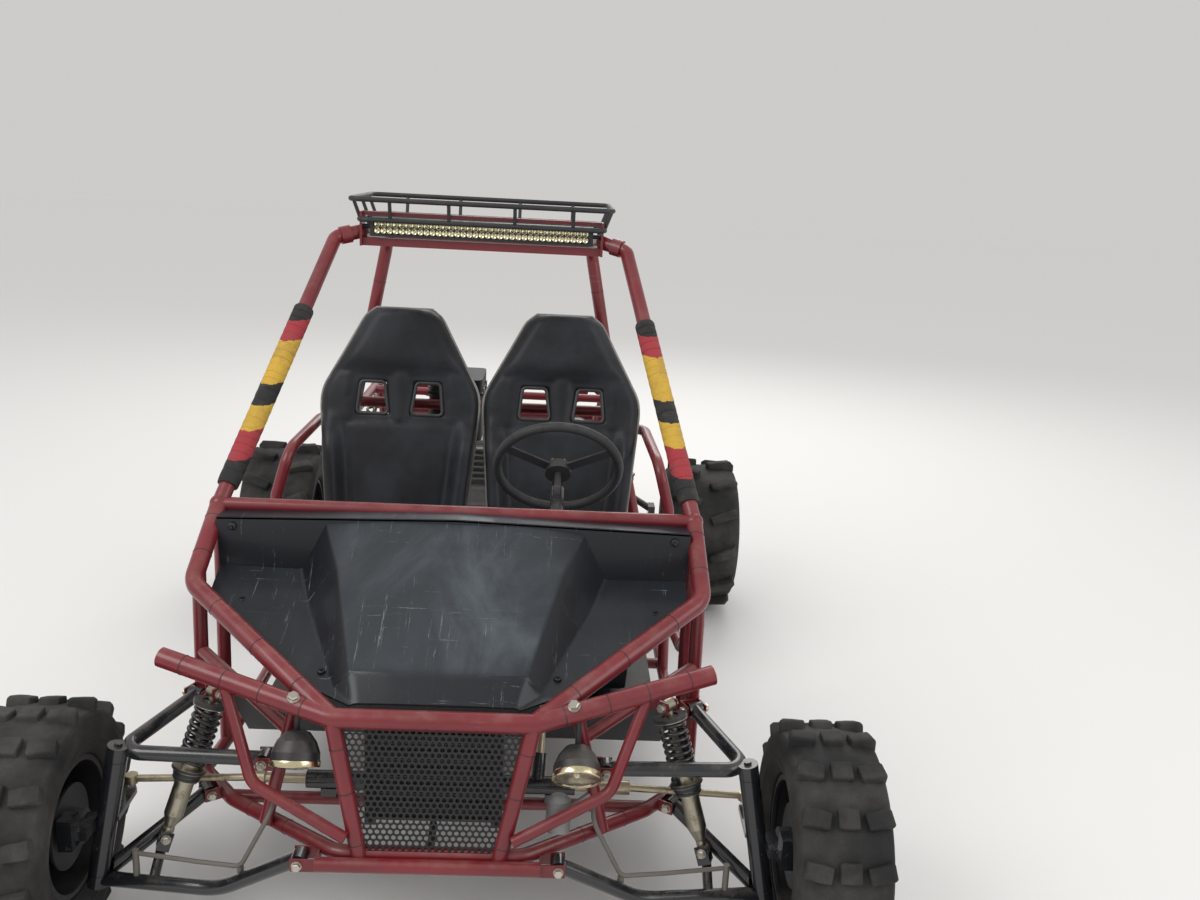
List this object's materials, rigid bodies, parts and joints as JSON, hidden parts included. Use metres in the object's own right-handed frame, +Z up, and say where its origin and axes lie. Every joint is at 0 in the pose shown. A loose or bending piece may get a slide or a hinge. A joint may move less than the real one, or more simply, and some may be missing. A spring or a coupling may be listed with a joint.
{
  "type": "dune buggy",
  "caption": "Two-seat off-road buggy with a welded tube frame, open cockpit, moulded hood, double front arms, coil-over dampers, rack steering and a mid-rear engine.",
  "frame": {"origin": "Bottom centre of the bounding box, on the ground under the middle of the vehicle.", "axes": "+Z up; the front faces -Y; +X is the driver's side, the vehicle's left."},
  "size_m": [1.88, 2.8999, 1.575],
  "materials": {
    "red_paint": "dull dark red paint, scuffed",
    "black_paint": "gloss black paint",
    "bare_steel": "zinc plated steel",
    "black_plastic": "satin black moulded plastic, dusty",
    "floor_plate": "black painted sheet",
    "foam_pads": "taped foam in black, red and yellow bands",
    "lamp_alloy": "light bar housing",
    "lamp_chrome": "chromed lamp shells",
    "alloy": "radiator core",
    "vinyl": "black vinyl",
    "grip": "black grip",
    "damper_steel": "polished steel",
    "spring_black": "gloss black coil",
    "tyre": "dusty black rubber",
    "rim_alloy": "satin black steel wheel",
    "engine_alloy": "cast alloy",
    "hose_rubber": "grey brown hose",
    "muffler_black": "heat proof black"
  },
  "bodies": {
    "chassis": {"nose_guard": "red_paint", "nose_rails": "red_paint", "lower_nose_frame": "red_paint", "grille_screen": "black_paint", "floor_frame": "red_paint", "floor_pan": "floor_plate", "side_frames": "red_paint", "rear_hoop": "red_paint", "pillars": "red_paint", "pillar_pads": "foam_pads", "roof_frame": "red_paint", "light_bar": "lamp_alloy", "roof_rack": "black_paint", "headlamps": "lamp_chrome", "horn": "lamp_alloy", "radiator": "alloy", "hood": "black_plastic", "driver_seat": "vinyl", "passenger_seat": "vinyl", "steering_column": "black_paint", "rack_housing": "black_paint", "front_upper_arms": "black_paint", "front_lower_arms": "black_paint", "brake_hoses": "hose_rubber", "front_dampers": "damper_steel", "front_springs": "spring_black", "rear_frame": "red_paint", "rear_posts": "red_paint", "tail_guard": "red_paint", "plate_bracket": "red_paint", "tail_lamps": "red_paint", "engine_block": "engine_alloy", "muffler": "muffler_black", "intake_box": "black_plastic", "rear_arms": "black_paint", "rear_uprights": "black_paint", "rear_dampers": "damper_steel", "rear_springs": "spring_black", "controls": "black_paint"},
    "knuckle_left": {"knuckle_left": "black_paint"},
    "knuckle_right": {"knuckle_right": "black_paint"},
    "front_wheel_left": {"front_tyre_left": "tyre", "front_rim_left": "rim_alloy"},
    "front_wheel_right": {"front_tyre_right": "tyre", "front_rim_right": "rim_alloy"},
    "rear_wheel_left": {"rear_tyre_left": "tyre", "rear_rim_left": "rim_alloy", "rear_axle_left": "bare_steel"},
    "rear_wheel_right": {"rear_tyre_right": "tyre", "rear_rim_right": "rim_alloy", "rear_axle_right": "bare_steel"},
    "steering_wheel": {"steering_wheel": "grip"},
    "lower_shaft": {"lower_shaft": "bare_steel"},
    "steering_rack": {"tie_rods": "bare_steel"}
  },
  "joints": [
    {"name": "steer_left", "type": "hinge", "parent": "chassis", "child": "knuckle_left", "pos_m": [0.726, -1.18, 0.145], "axis": [-0.1868, 0, 0.9824], "range_deg": [-26, 26]},
    {"name": "steer_right", "type": "hinge", "parent": "chassis", "child": "knuckle_right", "pos_m": [-0.726, -1.18, 0.145], "axis": [0.1868, 0, 0.9824], "range_deg": [-26, 26]},
    {"name": "front_spin_left", "type": "hinge", "parent": "knuckle_left", "child": "front_wheel_left", "pos_m": [0.84, -1.18, 0.27], "axis": [1, 0, 0], "continuous": true},
    {"name": "front_spin_right", "type": "hinge", "parent": "knuckle_right", "child": "front_wheel_right", "pos_m": [-0.84, -1.18, 0.27], "axis": [1, 0, 0], "continuous": true},
    {"name": "rear_spin_left", "type": "hinge", "parent": "chassis", "child": "rear_wheel_left", "pos_m": [0.806, 0.9, 0.29], "axis": [1, 0, 0], "continuous": true},
    {"name": "rear_spin_right", "type": "hinge", "parent": "chassis", "child": "rear_wheel_right", "pos_m": [-0.806, 0.9, 0.29], "axis": [1, 0, 0], "continuous": true},
    {"name": "steering_turn", "type": "hinge", "parent": "chassis", "child": "steering_wheel", "pos_m": [0.235, -0.492, 0.915], "axis": [0, 0.829, 0.5592], "range_deg": [-250, 250]},
    {"name": "shaft_turn", "type": "hinge", "parent": "chassis", "child": "lower_shaft", "pos_m": [0.215, -1.065, 0.33], "axis": [0.0472, 0.5459, 0.8365], "range_deg": [-250, 250]},
    {"name": "rack_slide", "type": "slide", "parent": "chassis", "child": "steering_rack", "axis": [1, 0, 0], "range_m": [-0.0525, 0.0525]}
  ],
  "couplings": [
    {"joint": "steer_right", "follows": "steer_left", "ratio": 1},
    {"joint": "steering_turn", "follows": "steer_left", "ratio": 9.6},
    {"joint": "shaft_turn", "follows": "steer_left", "ratio": 9.6},
    {"joint": "rack_slide", "follows": "steer_left", "m_per_rad": -0.115}
  ]
}
